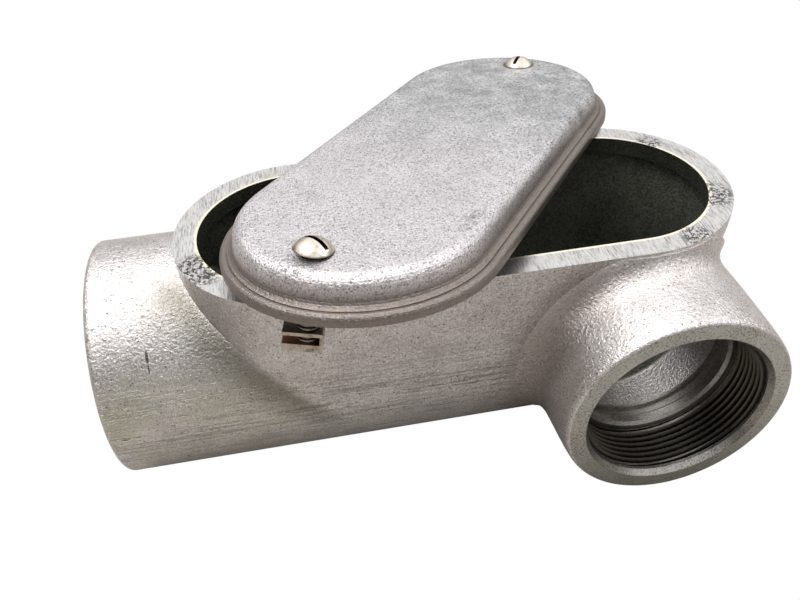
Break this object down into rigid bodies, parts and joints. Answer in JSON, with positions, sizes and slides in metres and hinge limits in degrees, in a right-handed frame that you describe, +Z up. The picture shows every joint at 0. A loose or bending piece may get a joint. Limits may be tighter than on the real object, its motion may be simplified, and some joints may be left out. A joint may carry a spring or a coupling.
{
  "type": "conduit body",
  "caption": "Cast L-shaped conduit body with an oval rim, threaded hubs, a domed cover lying turned across it, slotted screws and folded clips.",
  "frame": {"origin": "centre of the end hub's bore where its thread starts, just behind the mouth chamfer", "axes": "+X along the trough away from the end hub's mouth, +Z up towards the oval rim, side hub facing -Y"},
  "size_m": [0.2153, 0.1756, 0.1086],
  "materials": {
    "casting": "sand-cast, tumbled, machined rim",
    "cover_metal": "sand-cast, light grey with stains",
    "screw_steel": "plated, warm bright",
    "clip_steel": "plated strip, slightly tarnished"
  },
  "bodies": {
    "body": {"body_casting": "casting", "cover_casting": "cover_metal"},
    "screw_near": {"screw_near": "screw_steel"},
    "screw_far": {"screw_far": "screw_steel"},
    "clip_near": {"clip_near": "clip_steel"},
    "clip_far": {"clip_far": "clip_steel"}
  },
  "joints": [
    {"name": "screw_near_turn", "type": "hinge", "parent": "body", "child": "screw_near", "pos_m": [0.07015, -0.04306, 0.06479], "axis": [-0.1783, -0.1328, -0.975], "range_deg": [0, 1080]},
    {"name": "clip_near_lift", "type": "slide", "parent": "body", "child": "clip_near", "axis": [0.1783, 0.1328, 0.975], "range_m": [0, 0.0038]},
    {"name": "screw_far_turn", "type": "hinge", "parent": "body", "child": "screw_far", "pos_m": [0.16755, 0.08844, 0.05095], "axis": [0, -0.0967, -0.9953], "range_deg": [0, 1080]},
    {"name": "clip_far_lift", "type": "slide", "parent": "body", "child": "clip_far", "axis": [0, 0.0967, 0.9953], "range_m": [0, 0.0038]}
  ],
  "couplings": [
    {"joint": "screw_near_turn", "follows": "clip_near_lift", "rad_per_m": 4947.4},
    {"joint": "screw_far_turn", "follows": "clip_far_lift", "rad_per_m": 4947.4}
  ]
}
